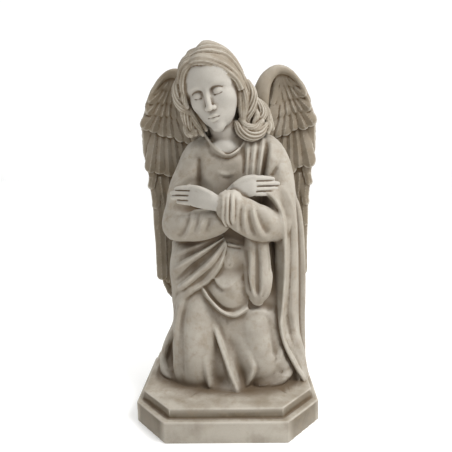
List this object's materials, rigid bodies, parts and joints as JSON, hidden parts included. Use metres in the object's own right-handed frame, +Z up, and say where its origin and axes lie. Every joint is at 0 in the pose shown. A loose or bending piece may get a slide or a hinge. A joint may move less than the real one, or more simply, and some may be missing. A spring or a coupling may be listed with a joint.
{
  "type": "kneeling angel statue",
  "caption": "Kneeling angel in a long robe and mantle, head bowed and arms crossed on the chest, wings raised behind, on a stepped plinth with cut corners.",
  "frame": {"origin": "middle of the flat underside of the plinth", "axes": "+Z up, the angel faces -Y, +X is the angel's own left side"},
  "size_m": [0.386, 0.34, 0.73],
  "materials": {
    "aged_cast_stone": "matt cast stone with an antique wash: pale grey cream on the raised parts, warm brown in the hollows"
  },
  "bodies": {
    "root": {"angel_statue": "aged_cast_stone"}
  },
  "joints": []
}
